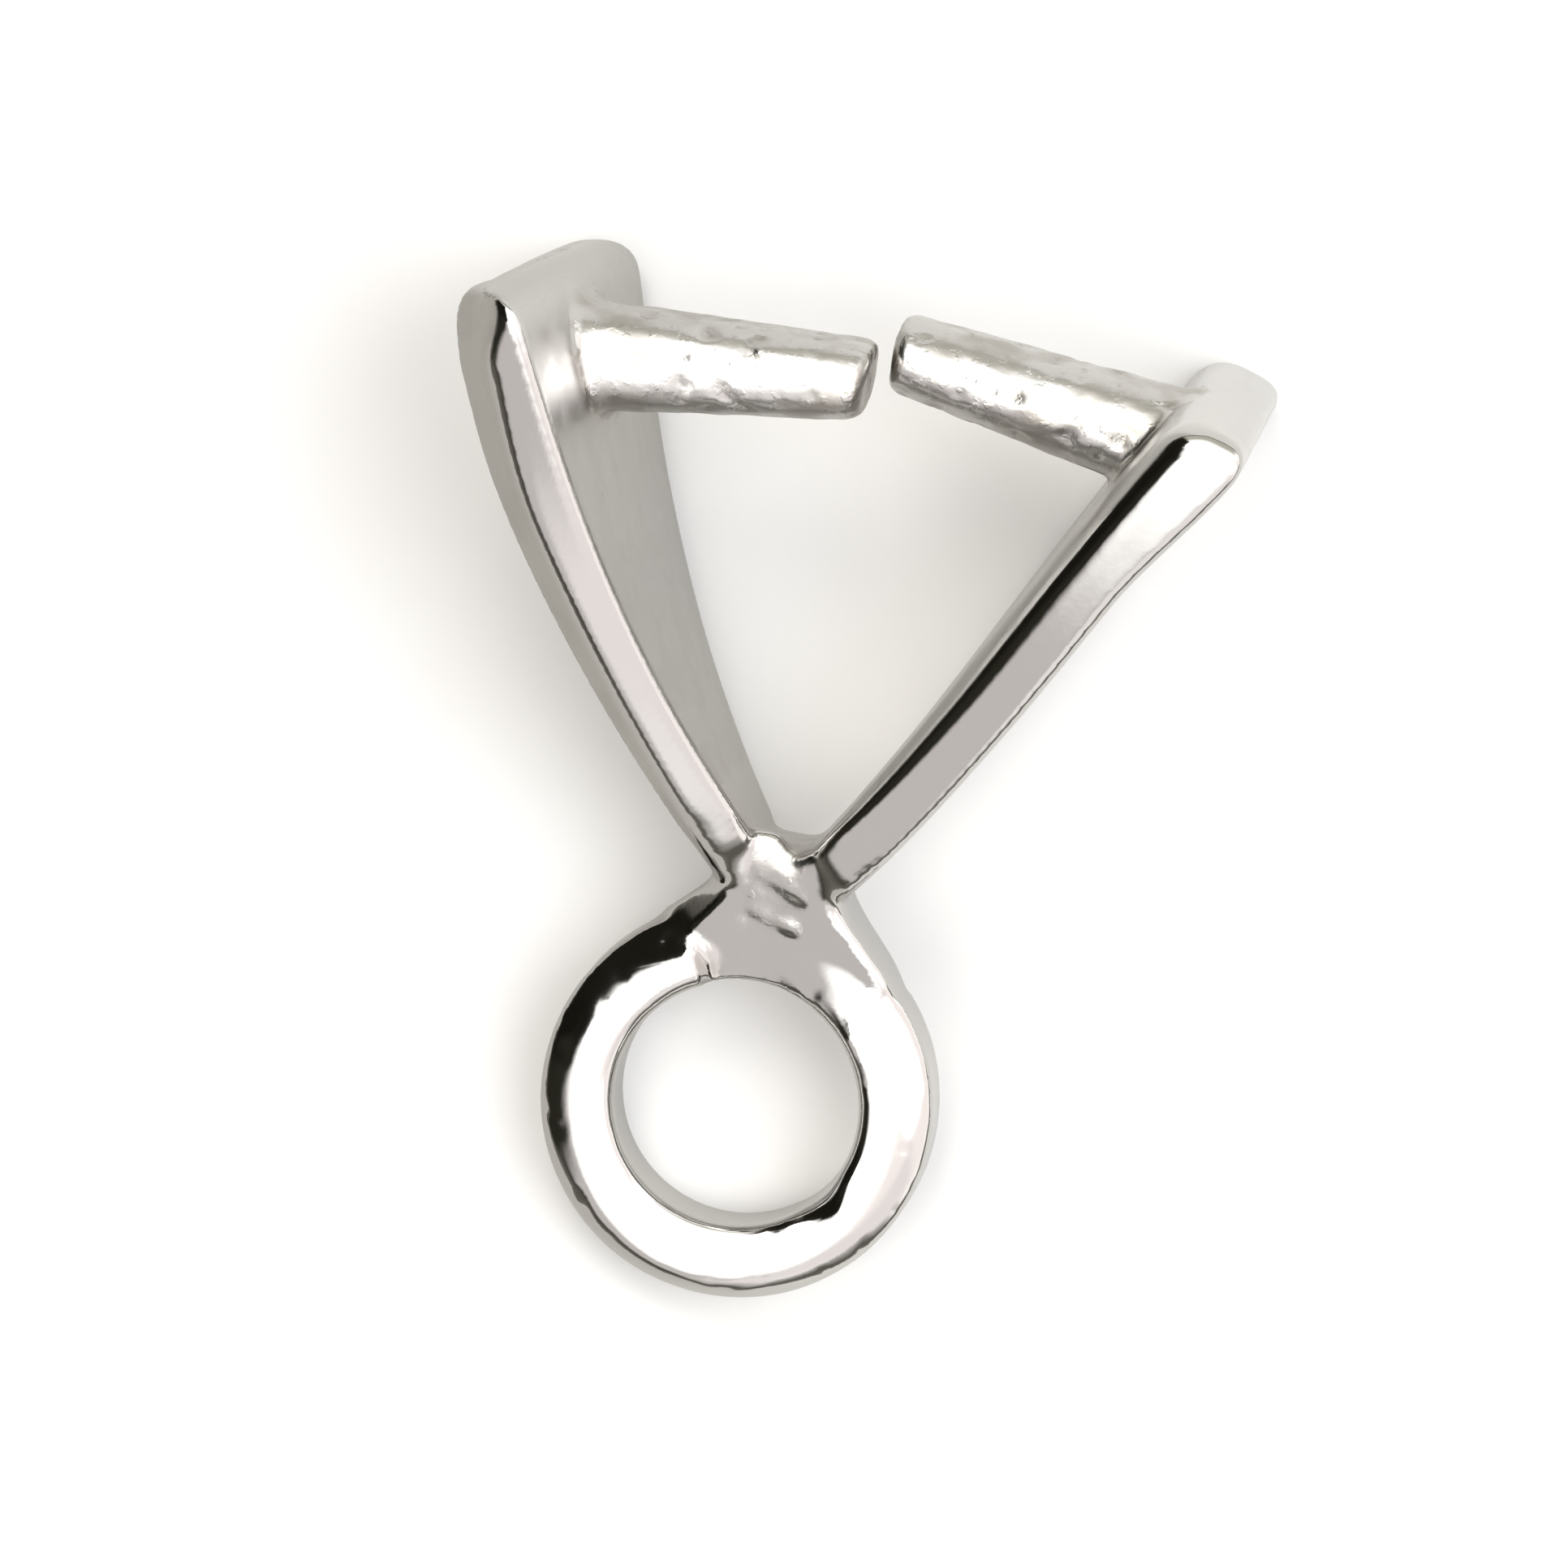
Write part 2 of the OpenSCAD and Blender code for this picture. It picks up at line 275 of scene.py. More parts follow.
def strapSide(half, thick, floor, inner, rim, slope):
    turn = arc(legSizes["edgeSteps"])
    fall = np.linspace(0, 1, panSizes["slopeSteps"] + 1)
    face = np.linspace(0, 1, legSizes["acrossSteps"] + 1)[:-1]
    rimPoints = rimCurve(rim, slope) + [half, thick]
    reach = min(half - panSizes["rimWidth"], rimPoints[-1, 0] - 0.02)
    return np.vstack([
        np.column_stack([face * (half - inner), 0 * face]),
        np.column_stack([half - inner * (1 - np.sin(turn)), inner * (1 - np.cos(turn))]),
        rimPoints,
        np.column_stack([reach - panSizes["slopeWidth"] * fall, thick - (thick - floor) * smoothStep(fall)]),
        np.column_stack([(reach - panSizes["slopeWidth"]) * (1 - face[1:]), np.full(len(face) - 1, floor)]),
        [[0, floor]],
    ])


def strapProfile(half, nearThick, farThick, floor, nearInner, nearRim, slope):
    # across the width and out from the inner face, the near side first
    radius = legSizes["rimEdge"]
    farRim = {"turn": 45.0, "upper": radius, "lower": radius}
    near = strapSide(half, nearThick, floor, nearInner, nearRim, slope)
    far = strapSide(half, farThick, floor, legSizes["innerEdge"], farRim, 0.0)
    return np.vstack([near, far[-2:0:-1] * [-1, 1]])


def legFrame(leg, s):
    # point on the inner face, and the directions along, across and out there
    angle, twist = mix(rootRad, tipRad, s), math.radians(leg["twist"]) * s
    point = np.array([
        leg["side"] * (legSizes["crotchRadius"] * math.cos(rootRad)
                       + legArc * (math.cos(rootRad) - math.cos(angle))),
        pivotY - legSizes["crotchRadius"] * math.sin(rootRad)
        + legArc * (math.sin(angle) - math.sin(rootRad)),
        leg["shift"] * s,
    ])
    along = np.array([leg["side"] * math.sin(angle), math.cos(angle), 0.0])
    flat = np.array([leg["side"] * math.cos(angle), -math.sin(angle), 0.0])
    up = np.array([0.0, 0.0, 1.0])
    across = up * math.cos(twist) + flat * math.sin(twist)
    out = flat * math.cos(twist) - up * math.sin(twist)
    return point, along, across, out


def legSection(leg, s, nose):
    sizes, pan = legSizes, panSizes
    half = mix(sizes["rootWidth"], sizes["tipWidth"], s) / 2 + 4 * sizes["sideBulge"] * s * (1 - s)
    lip = smoothStep((s - sizes["lipStart"]) / (sizes["lipFull"] - sizes["lipStart"]))
    inward = curve(leg["inward"], s)
    nearThick = mix(curve(leg["body"], s), leg["lip"], lip)
    farThick = min(nearThick, mix(sizes["thickness"], sizes["lipThickness"], lip) + inward)
    hollow = (smoothStep((s - pan["start"]) / (pan["full"] - pan["start"]))
              * (1 - smoothStep((s - pan["rise"]) / (pan["end"] - pan["rise"]))))
    floor = mix(min(nearThick, farThick), pan["floorThickness"] + inward, hollow)
    slope = curve(leg["slope"], s) + leg["tipSlope"] * smoothStep((s - 0.87) / 0.13)
    nearRim = dict(leg["nearRim"])
    nearRim["upper"] *= 1 + leg["tipRound"] * smoothStep((s - 0.6) / 0.3)
    profile = strapProfile(half, nearThick, farThick, floor, curve(leg["nearInner"], s), nearRim, slope)
    point, along, across, out = legFrame(leg, s)
    near = profile[:, 0] > 0
    corner = np.where(near, sizes["nearCorner"], sizes["farCorner"])
    v = profile[:, 0] * (half - corner * (1 - math.cos(nose))) / half
    middle = mix(farThick, nearThick, smoothStep(profile[:, 0] / half + 0.5)) / 2
    n = middle + (profile[:, 1] - middle) * math.cos(nose) ** sizes["noseSquareness"] - inward
    bow = np.where(near, sizes["nearBow"], sizes["farBow"]) * s * s * (v / half) ** 2
    return point + np.outer(v, across) + np.outer(n, out) - np.outer(bow, along)


def legSections(leg):
    noseStart = 1 - leg["lip"] / 2 / legSizes["length"]
    steps = legSizes["legSteps"]
    body = [legSection(leg, noseStart * i / steps, 0.0) for i in range(1, steps + 1)]
    turns = np.radians(np.linspace(0, legSizes["noseLast"], legSizes["noseSteps"] + 1)[1:])
    return body + [legSection(leg, noseStart + (1 - noseStart) * math.sin(t) ** legSizes["noseSquareness"], t)
                   for t in turns]


def bendSection(angle, angleEnd):
    half = mix(legSizes["bendWidth"], legSizes["rootWidth"], (angle / angleEnd) ** 2) / 2
    share = (angle / angleEnd + 1) / 2
    first, second = legs
    nearRim = {key: mix(first["nearRim"][key], second["nearRim"][key], share) for key in first["nearRim"]}
    nearInner = mix(first["nearInner"][0], second["nearInner"][0], share)
    slope = mix(first["slope"][0], second["slope"][0], share)
    thick = mix(first["body"][0], second["body"][0], share)
    profile = strapProfile(half, thick, thick, thick, nearInner, nearRim, slope)
    out = np.array([math.sin(angle), -math.cos(angle), 0.0])
    pivot = np.array([0.0, pivotY, 0.0])
    reach = legSizes["crotchRadius"] - first["inward"][0] + profile[:, 1]
    return pivot + np.outer(reach, out) + np.outer(profile[:, 0], [0, 0, 1])


def strapSkin():
    angleEnd = math.pi / 2 - rootRad
    bend = [bendSection(a, angleEnd) for a in np.linspace(-angleEnd, angleEnd, legSizes["bendSteps"] + 1)]
    return skin(legSections(legs[0])[::-1] + bend + legSections(legs[1]))


# the pegs, cast on inside each wide end
pegSizes = {
    "width": 1.5,
    "thickness": 1.05,
    "taper": 0.75,
    "setback": 0.48,
    "slant": 6.5,
    "gap": 0.16,
    "fillet": 0.2,
    "upperFlare": 0.3,
    "nearFlare": 0.35,
    "tipRounding": 0.16,   # as a share of the thickness
    "tipShrink": 0.24,
    "sides": 96,
    "shaftSteps": 14,
}


def oval(halfX, halfY, turn, power):
    reach = (np.abs(np.cos(turn)) ** power + np.abs(np.sin(turn)) ** power) ** (-1 / power)
    return halfX * reach * np.cos(turn), halfY * reach * np.sin(turn)


def legShareAt(y):
    sine = math.sin(rootRad) + (y - pivotY + legSizes["crotchRadius"] * math.sin(rootRad)) / legArc
    return (math.asin(sine) - rootRad) / (tipRad - rootRad)


def pegSkin(leg):
    sizes = pegSizes
    tipX, slant = sizes["gap"] / 2, math.tan(math.radians(sizes["slant"]))
    tipY = legFrame(legs[1], 1.0)[0][1] - sizes["setback"]
    reachX = legFrame(legs[1], legShareAt(tipY))[0][0]
    share = legShareAt(tipY + leg["pegMiss"] - (reachX - tipX) * slant)
    rootX = abs(legFrame(leg, share)[0][0])
    angle, twist = mix(rootRad, tipRad, share), math.radians(leg["twist"]) * share
    turn = np.linspace(0, 2 * math.pi, sizes["sides"], endpoint=False)

    def section(x, shrink, flare, lean):
        far = (x - tipX) / (rootX - tipX)
        halfY = sizes["thickness"] / 2 * mix(sizes["taper"], 1, far) * shrink
        halfZ = sizes["width"] / 2 * mix((1 + sizes["taper"]) / 2, 1, far) * shrink
        upper = np.where(np.cos(turn) > 0, sizes["upperFlare"], 1.0)
        side = np.where(np.sin(turn) > 0, sizes["nearFlare"], 1.0)
        y, z = oval(halfY + flare * upper, halfZ + flare * side, turn, leg["pegSquareness"])
        leaning = x + lean * (y * math.tan(angle) + z * math.tan(twist) / math.cos(angle))
        middleY = tipY + leg["pegMiss"] - (x - tipX) * slant
        return np.column_stack([leg["side"] * leaning, middleY + y, leg["shift"] * share + z])

    rows = [section(rootX + legSizes["thickness"] / 2, 1, sizes["fillet"], 1)]
    for h in np.linspace(0, 1, 12):
        flare = sizes["fillet"] * (1 - math.sqrt(1 - (1 - h) ** 2))
        rows.append(section(rootX - sizes["fillet"] * h, 1, flare, 1))
    shaftStart, rounding = rootX - sizes["fillet"], sizes["tipRounding"] * sizes["thickness"]
    for f in np.linspace(0, 1, sizes["shaftSteps"] + 1)[1:]:
        rows.append(section(mix(shaftStart, tipX + rounding, f), 1, 0, 1 - f))
    for h in np.linspace(0, 1, 10)[1:]:
        shrink = 1 - sizes["tipShrink"] * (1 - math.sqrt(1 - h * h))
        rows.append(section(tipX + rounding * (1 - h), shrink, 0, 0))
    return skin(rows)


# the neck, from the ring into the bottom of the V: a long bevel on one flank, a round on the other
neckSizes = {
    "start": 1.41,
    "end": 2.58,
    "narrowAt": 2.27,
    "halfWidth": 0.67,
    "endLength": 0.17,
    "endTurn": 84.0,
    "endSteps": 8,
    "bevel": ((0.14, 0, 37), (0.58, 37), (0.06, 37, 90)),
    "topBevel": ((0.10, 0, 40), (0.26, 40), (0.06, 40, 90)),
    "round": ((0.17, 0, 90),),
    "undercut": 0.92,       # the bevelled flank's far half stands in by this much
    "leastHalf": 0.01,
    "steps": 30,
    "roundSteps": 8,
    "flatSteps": 24,
}


def neckSkin(sizes):
    low, high, rounded = (walk(sizes[name], sizes["roundSteps"]) for name in ("bevel", "topBevel", "round"))
    places = [(y, 0.0) for y in np.linspace(sizes["start"], sizes["end"], sizes["steps"] + 1)]
    places += [(sizes["end"] + sizes["endLength"] * math.sin(t), t)
               for t in np.radians(np.linspace(0, sizes["endTurn"], sizes["endSteps"] + 1)[1:])]
    rows = []
    for y, nose in places:
        f = min(1.0, (y - sizes["start"]) / (sizes["narrowAt"] - sizes["start"]))
        half = mix(sizes["start"], sizes["halfWidth"], float(smoothStep(f)) * 0.35 + f * 0.65)
        bevel = mix(low, high, f)
        top = webTop(0.0, y)
        left = np.column_stack([bevel[-1, 0] - half - bevel[:, 0], top - bevel[:, 1]])
        right = np.column_stack([half - rounded[-1, 0] + rounded[:, 0], top - rounded[:, 1]])
        flat = np.linspace(right[0, 0], left[0, 0], sizes["flatSteps"] + 2)[1:-1]
        upper = np.vstack([right[::-1], np.column_stack([flat, np.full(len(flat), top)]), left])
        leaning = upper[:, 1] + webSlope["lean"] * np.maximum(upper[:, 0], 0)
        upper[:, 1] = np.maximum(leaning, sizes["leastHalf"]) * math.cos(nose)
        lower = upper[::-1] * [1, -1]
        lower[:, 0] *= np.where(lower[:, 0] < 0, sizes["undercut"], 1.0)
        section = np.vstack([upper, lower])
        rows.append(np.column_stack([section[:, 0], np.full(len(section), y), section[:, 1]]))
    return skin(rows)


# a bead of metal left in the bottom of the V, on the near side
beadSizes = {
    "middle": (-0.16, 2.74, 0.52),
    "half": (0.20, 0.15, 0.15),
    "rows": 24,
    "sides": 48,
}


def beadSkin(sizes):
    turn = np.linspace(0, 2 * math.pi, sizes["sides"], endpoint=False)
    rows = []
    for lift in np.radians(np.linspace(-88, 88, sizes["rows"])):
        ball = np.column_stack([
            np.cos(turn) * math.cos(lift),
            np.sin(turn) * math.cos(lift),
            np.full(len(turn), math.sin(lift)),
        ])
        rows.append(ball * sizes["half"] + sizes["middle"])
    return skin(rows)


# the casting: the shells grown into one skin with soft inner corners
castingLook = {
    "voxel": 0.049,
    "smoothings": 3,
    "blendWidth": 0.09,     # from this far off a joint the skin follows its own shell exactly
    "afterSmoothings": 5,
    "rootSmoothings": 16,
    "waveHeight": 0.004,
    "pegRough": 0.020,
    "pegPits": 0.030,
    "neckTerrace": 0.03,
    "neckBumps": 0.024,
    "ringDents": 0.007,
}
reliefSizes = {             # how far apart the marks lie, in mm
    "waves": 1.1,
    "ripples": 0.45,
    "lumps": 0.34,
    "grains": 0.17,
    "pits": 0.21,
    "neckBumps": 0.25,
    "neckTreads": 0.40,
    "neckSway": 0.8,
    "ringDents": 0.26,
}
reliefPlaces = {            # where each share begins and how long it takes to grow, in mm
    "neckFoot": (1.80, 0.12),
    "neckHead": (2.72, 0.15),
    "neckLeft": (-0.34, 0.12),
    "neckRight": (0.24, 0.16),
    "rootsFoot": (2.0, 0.2),
    "rootsHead": (2.75, 0.3),
    "rootsSide": (0.8, 0.3),
    "rootsHeight": (0.0, 0.3),
    "pegTip": (0.16, 0.1),
    "satinFoot": (3.1, 0.3),
    "bevelSide": (0.8, 0.3),
}

shells = [
    strapSkin(), ringSkin(ringSizes), neckSkin(neckSizes),
    pegSkin(legs[0]), pegSkin(legs[1]), beadSkin(beadSizes),
]
strapShell, ringShell, webShell, firstPegShell, secondPegShell, beadShell = range(6)


def joinedMesh(name, parts):
    mesh = bpy.data.meshes.new(name)
    points, faces, start = [], [], 0
    for partPoints, partFaces in parts:
        points.append(partPoints)
        faces.extend(tuple(start + i for i in face) for face in partFaces)
        start += len(partPoints)
    mesh.from_pydata(np.concatenate(points).tolist(), [], faces)
    return mesh


def remeshed(mesh, voxel):
    holder = bpy.data.objects.new("remeshHolder", mesh)
    bpy.context.collection.objects.link(holder)
    modifier = holder.modifiers.new("grow", "REMESH")
    modifier.mode = "VOXEL"
    modifier.voxel_size = voxel
    result = bpy.data.meshes.new_from_object(holder.evaluated_get(bpy.context.evaluated_depsgraph_get()))
    bpy.data.objects.remove(holder)
    return result


def pointsOf(mesh):
    values = np.empty(len(mesh.vertices) * 3)
    mesh.vertices.foreach_get("co", values)
    return values.reshape(-1, 3)


def normalsOf(mesh, points):
    mesh.vertices.foreach_set("co", points.ravel())
    mesh.update()
    values = np.empty(len(mesh.vertices) * 3)
    mesh.vertex_normals.foreach_get("vector", values)
    return values.reshape(-1, 3)


def edgesOf(mesh):
    values = np.empty(len(mesh.edges) * 2, dtype=np.int64)
    mesh.edges.foreach_get("vertices", values)
    return values.reshape(-1, 2)


def largestIsland(mesh):
    edges = edgesOf(mesh)
    label = np.arange(len(mesh.vertices))
    while True:
        lowest = label.copy()
        np.minimum.at(lowest, edges[:, 0], label[edges[:, 1]])
        np.minimum.at(lowest, edges[:, 1], label[edges[:, 0]])
        lowest = lowest[lowest]
        if np.array_equal(lowest, label):
            break
        label = lowest
    names, counts = np.unique(label, return_counts=True)
    keep = label == names[np.argmax(counts)]
    index = np.cumsum(keep) - 1
    faces = [[int(index[i]) for i in polygon.vertices]
             for polygon in mesh.polygons if keep[polygon.vertices[0]]]
    result = bpy.data.meshes.new(mesh.name)
    result.from_pydata(pointsOf(mesh)[keep].tolist(), [], faces)
    return result


class Smoother:
    # moves each point towards the middle of its neighbours
    def __init__(self, edges, count):
        self.edges = edges
        self.degree = np.bincount(edges.ravel(), minlength=count).astype(float)

    def middle(self, values):
        total = np.zeros_like(values)
        np.add.at(total, self.edges[:, 0], values[self.edges[:, 1]])
        np.add.at(total, self.edges[:, 1], values[self.edges[:, 0]])
        degree = self.degree if values.ndim == 1 else self.degree[:, None]
        return total / degree

    def smooth(self, values, times, share=0.5, weight=None):
        for _ in range(times):
            step = (self.middle(values) - values) * share
            if weight is not None:
                step = step * (weight if values.ndim == 1 else weight[:, None])
            values = values + step
        return values


def grown(values, place):
    start, length = reliefPlaces[place]
    return smoothStep((values - start) / length)


def noiseAt(points, mark, seed):
    size = reliefSizes[mark]
    offset = Vector((seed * 7.3, seed * -3.1, seed * 5.7))
    return np.array([noise.noise(Vector(p) / size + offset) for p in points.tolist()])


mesh = joinedMesh("bailCasting", shells)
mesh = largestIsland(remeshed(mesh, castingLook["voxel"]))
print("casting grown:", len(mesh.vertices), "points")

smoother = Smoother(edgesOf(mesh), len(mesh.vertices))
points = smoother.smooth(pointsOf(mesh), castingLook["smoothings"])

trees = [BVHTree.FromPolygons(shellPoints.tolist(), faces) for shellPoints, faces in shells]
nearest = np.empty((len(trees), len(points), 3))
distance = np.empty((len(trees), len(points)))
for index, tree in enumerate(trees):
    for row, point in enumerate(points.tolist()):
        place, normal, face, gap = tree.find_nearest(point)
        nearest[index, row] = place
        distance[index, row] = gap
order = np.argsort(distance, axis=0)
rows = np.arange(len(points))
owner, second = order[0], order[1]
follow = smoothStep(distance[second, rows] / castingLook["blendWidth"])
points = points + (nearest[owner, rows] - points) * follow[:, None]
points = smoother.smooth(points, castingLook["afterSmoothings"], weight=1 - follow)
x, y, z = points.T
softRoots = (grown(y, "rootsFoot") * (1 - grown(y, "rootsHead"))
             * (1 - grown(np.abs(x), "rootsSide")) * grown(z, "rootsHeight"))
points = smoother.smooth(points, castingLook["rootSmoothings"], weight=softRoots)
print("casting fitted to its shells")

# low relief that the casting and the file left
x, y, z = points.T
normals = normalsOf(mesh, points)
pegShare = np.isin(owner, (firstPegShell, secondPegShell)).astype(float)
pegShare = smoother.smooth(pegShare, 6)
neckShare = grown(y, "neckFoot") * (1 - grown(y, "neckHead")) * (z > 0)
neckShare = neckShare * grown(x, "neckLeft") * (1 - grown(x, "neckRight"))
ringShare = smoother.smooth((owner == ringShell).astype(float), 4)

height = castingLook["waveHeight"] * noiseAt(points, "waves", 1)
height += 0.4 * castingLook["waveHeight"] * noiseAt(points, "ripples", 2)

rough = 0.6 * noiseAt(points, "lumps", 3) + 0.4 * noiseAt(points, "grains", 4)
pits = -smoothStep((noiseAt(points, "pits", 5) - 0.28) / 0.22)
height += pegShare * (castingLook["pegRough"] * rough + castingLook["pegPits"] * pits)

sway = 0.22 * noiseAt(points, "neckSway", 6)
tread = ((y + 0.3 * x) / reliefSizes["neckTreads"] + sway) % 1.0   # flat treads up the neck's slope
terrace = 0.5 - tread + smoothStep((tread - 0.6) / 0.4)
height += neckShare * castingLook["neckTerrace"] * terrace
height += neckShare * castingLook["neckBumps"] * noiseAt(points, "neckBumps", 7)

dents = -smoothStep((noiseAt(points, "ringDents", 8) - 0.25) / 0.3)
height += ringShare * castingLook["ringDents"] * dents * smoothStep((normals[:, 2] - 0.3) / 0.5)

points = points + normals * height[:, None]
points = smoother.smooth(points, 1, share=0.35)

# what stayed satin: the legs' inner faces, the lips and the first leg's bevel
onStrap = smoother.smooth((owner == strapShell).astype(float), 2)
inward = smoothStep((-normals[:, 0] * np.sign(x) - 0.55) / 0.2) * grown(y, "satinFoot")
lipShare = smoothStep((y - legFrame(legs[0], 1.0)[0][1] + 0.75) / 0.3)
bevelShare = (smoothStep((normals[:, 2] - 0.15) / 0.15) * (1 - smoothStep((normals[:, 2] - 0.72) / 0.1))
              * smoothStep((-normals[:, 0] - 0.35) / 0.15) * grown(-x, "bevelSide"))
bevelShare = smoother.smooth(bevelShare * onStrap, 2)
satin = smoother.smooth(np.clip(onStrap * (inward + 0.3 * lipShare) + bevelShare, 0, 1), 2)
# the pegs' tip flanks, which get painted shade through the hollow mask
tipShare = pegShare * (1 - grown(np.abs(x), "pegTip"))
tipShare *= smoothStep((np.abs(normals[:, 0]) - 0.4) / 0.3)

# lie it down where the frame holds it
mounts = {mount["name"]: mount for mount in frame["record"]["mounts"]}
holeAxis = Vector(mounts["ring_hole"]["axis"]).normalized()
pegAxis = Vector(mounts["peg_grip"]["axis"]).normalized()
longAxis = holeAxis.cross(pegAxis).normalized()
turned = Matrix((pegAxis, longAxis, holeAxis)).transposed()
points = points * metresPerMm @ np.array(turned).T + np.array(mounts["ring_hole"]["pos_m"])
points[:, 2] = np.maximum(points[:, 2], 0.0)
normals = normalsOf(mesh, points)

# masks for the finish: hollows, edges and the cast skin; the hollow mask also holds painted shade on the first
# leg's bevel and on the pegs' tip flanks
bend = np.einsum("ij,ij->i", smoother.middle(points) - points, normals) / (castingLook["voxel"] * metresPerMm)
bend = smoother.smooth(bend, 3)
masks = {
    # tarnish in hollows, plus painted shade: the first leg's bevel and the pegs' tip flanks take the darker tone
    # in place of the shaded table they mirror
    "hollow": np.clip(smoothStep(bend / 0.12) + 0.6 * bevelShare + 0.9 * tipShare, 0, 1),
    "edge": smoothStep(-bend / 0.16),
    "castSkin": np.clip(pegShare + 0.6 * neckShare, 0, 1),
    "satin": satin,
}
for name, values in masks.items():
    layer = mesh.attributes.new(name, "FLOAT", "POINT")
    layer.data.foreach_set("value", values.astype(np.float32))
mesh.polygons.foreach_set("use_smooth", [True] * len(mesh.polygons))
casting = bpy.data.objects.new("bail_casting", mesh)
bpy.context.collection.objects.link(casting)
print("casting finished:", len(mesh.polygons), "faces")


def addNode(tree, kind, spot, **settings):
    node = tree.nodes.new(kind)
    node.location = spot
    for key, value in settings.items():
        setattr(node, key, value)
    return node


def newGroup(name, inputs, outputs):
    tree = bpy.data.node_groups.new(name, "ShaderNodeTree")
    for socketName, kind, value in inputs:
        socket = tree.interface.new_socket(name=socketName, in_out="INPUT", socket_type=kind)
        if value is not None:
            socket.default_value = value
    for socketName, kind in outputs:
        tree.interface.new_socket(name=socketName, in_out="OUTPUT", socket_type=kind)
    start, end = addNode(tree, "NodeGroupInput", (-900, 0)), addNode(tree, "NodeGroupOutput", (900, 0))
    return tree, start, end


def placeGroup(tree, group, spot, **values):
    node = addNode(tree, "ShaderNodeGroup", spot, node_tree=group)
    for name, value in values.items():
        node.inputs[name].default_value = value
    return node


def softMottleGroup():
    # broad uneven tone, used by the silver and the table
    tree, inputs, outputs = newGroup("softMottle", [
        ("Size", "NodeSocketFloat", 1.0),
        ("Detail", "NodeSocketFloat", 3.0),
        ("Low", "NodeSocketFloat", 0.35),
        ("High", "NodeSocketFloat", 0.65),
    ], [("Mask", "NodeSocketFloat")])
    where = addNode(tree, "ShaderNodeTexCoord", (-900, -250))
    scale = addNode(tree, "ShaderNodeMath", (-650, 150), operation="DIVIDE")
    scale.inputs[0].default_value = 1.0
    cloud = addNode(tree, "ShaderNodeTexNoise", (-400, 0))
    spread = addNode(tree, "ShaderNodeMapRange", (0, 0), interpolation_type="SMOOTHSTEP")
    tree.links.new(inputs.outputs["Size"], scale.inputs[1])
    tree.links.new(where.outputs["Object"], cloud.inputs["Vector"])
    tree.links.new(scale.outputs[0], cloud.inputs["Scale"])
    tree.links.new(inputs.outputs["Detail"], cloud.inputs["Detail"])
    tree.links.new(cloud.outputs["Fac"], spread.inputs["Value"])
    tree.links.new(inputs.outputs["Low"], spread.inputs["From Min"])
    tree.links.new(inputs.outputs["High"], spread.inputs["From Max"])
    tree.links.new(spread.outputs["Result"], outputs.inputs["Mask"])
    return tree


softMottle = softMottleGroup()


# silver, polished where a wheel reaches and tarnished where it doesn't, with painted shade on the first leg's
# bevel and the pegs' tip flanks
silverLook = {
    "colour": (0.61, 0.60, 0.585, 1.0),
    # a darker tone for tarnish in hollows, also used as painted shade
    "tarnishAndShadeTone": (0.34, 0.315, 0.27, 1.0),
    "tarnishAndShadeShare": 0.55,
    "polished": 0.09,
    "castSkin": 0.30,
    "satin": 0.36,
    "grainSize": 0.09,      # mm
    "grainHeight": 0.004,
    "pitSize": 1.3,
    "pitHeight": 0.010,
}


